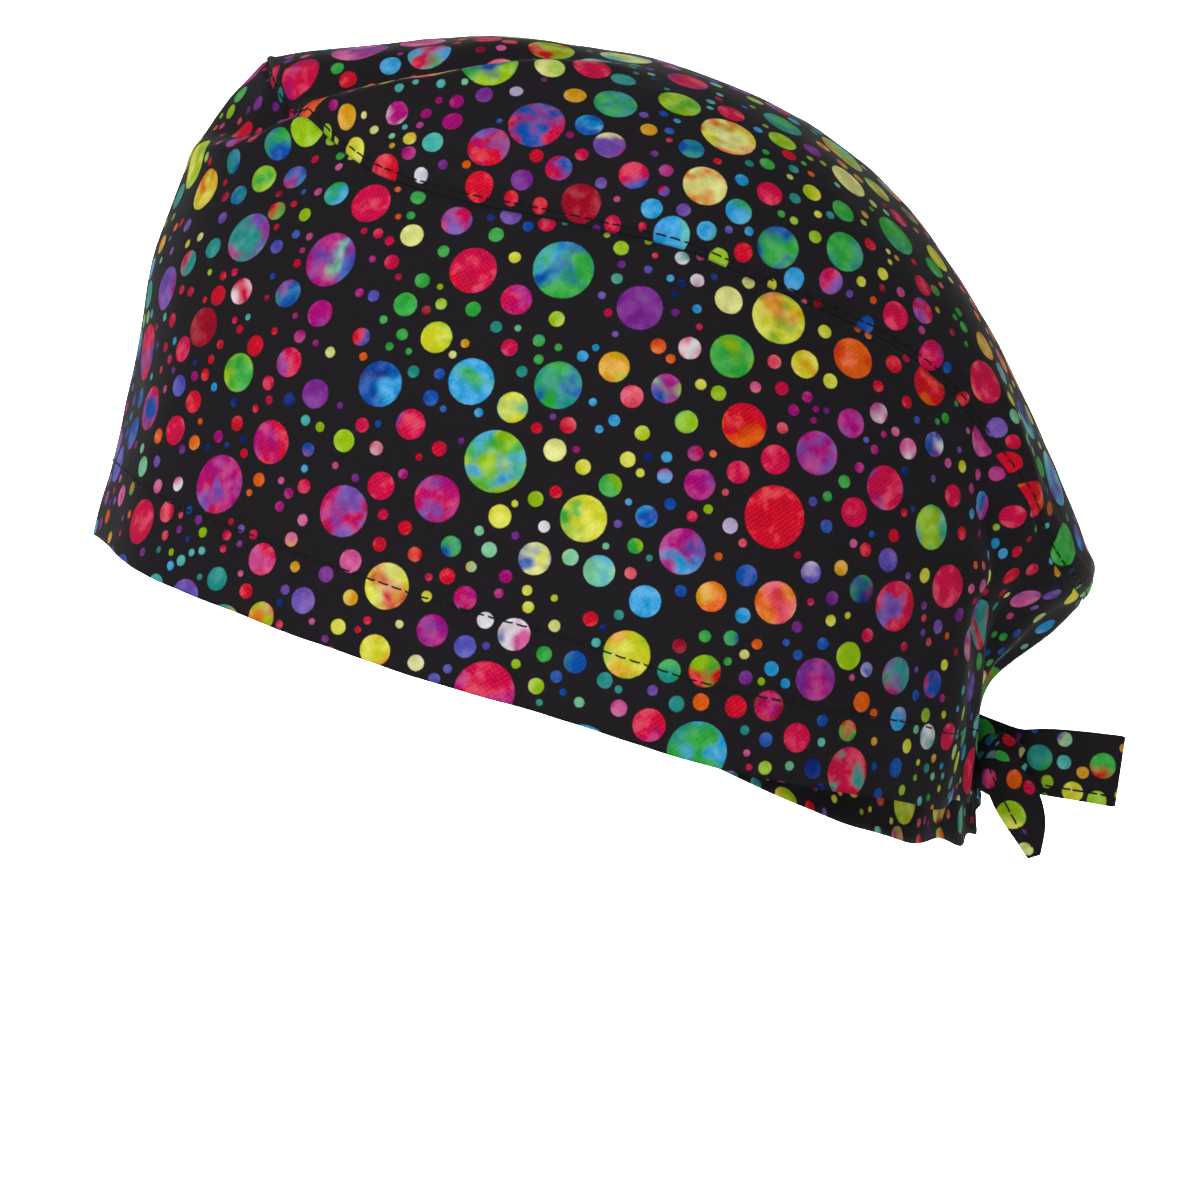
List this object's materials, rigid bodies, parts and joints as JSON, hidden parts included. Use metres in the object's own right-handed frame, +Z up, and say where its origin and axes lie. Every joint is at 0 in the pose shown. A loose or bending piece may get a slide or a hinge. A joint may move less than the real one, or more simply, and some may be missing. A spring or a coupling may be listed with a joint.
{
  "type": "tie-back scrub cap",
  "caption": "Soft surgical scrub cap in dotted black cotton: a deep side band, a domed crown panel and a knotted tie at the nape, shaped as worn.",
  "frame": {"origin": "top of the wearer's head, under the middle of the crown panel", "axes": "-X towards the brow, +X towards the nape and the ties, -Y the wearer's left side, +Z up"},
  "size_m": [0.2193, 0.1684, 0.1746],
  "materials": {
    "band_cotton": "matt black quilting cotton printed with many-coloured dots",
    "crown_cotton": "matt black quilting cotton printed with many-coloured dots",
    "tie_cotton": "the same cotton, folded in four and stitched"
  },
  "bodies": {
    "root": {"side_band": "band_cotton", "crown_panel": "crown_cotton", "tie_knot": "tie_cotton", "tie_end_back": "tie_cotton", "tie_end_down": "tie_cotton"}
  },
  "joints": []
}
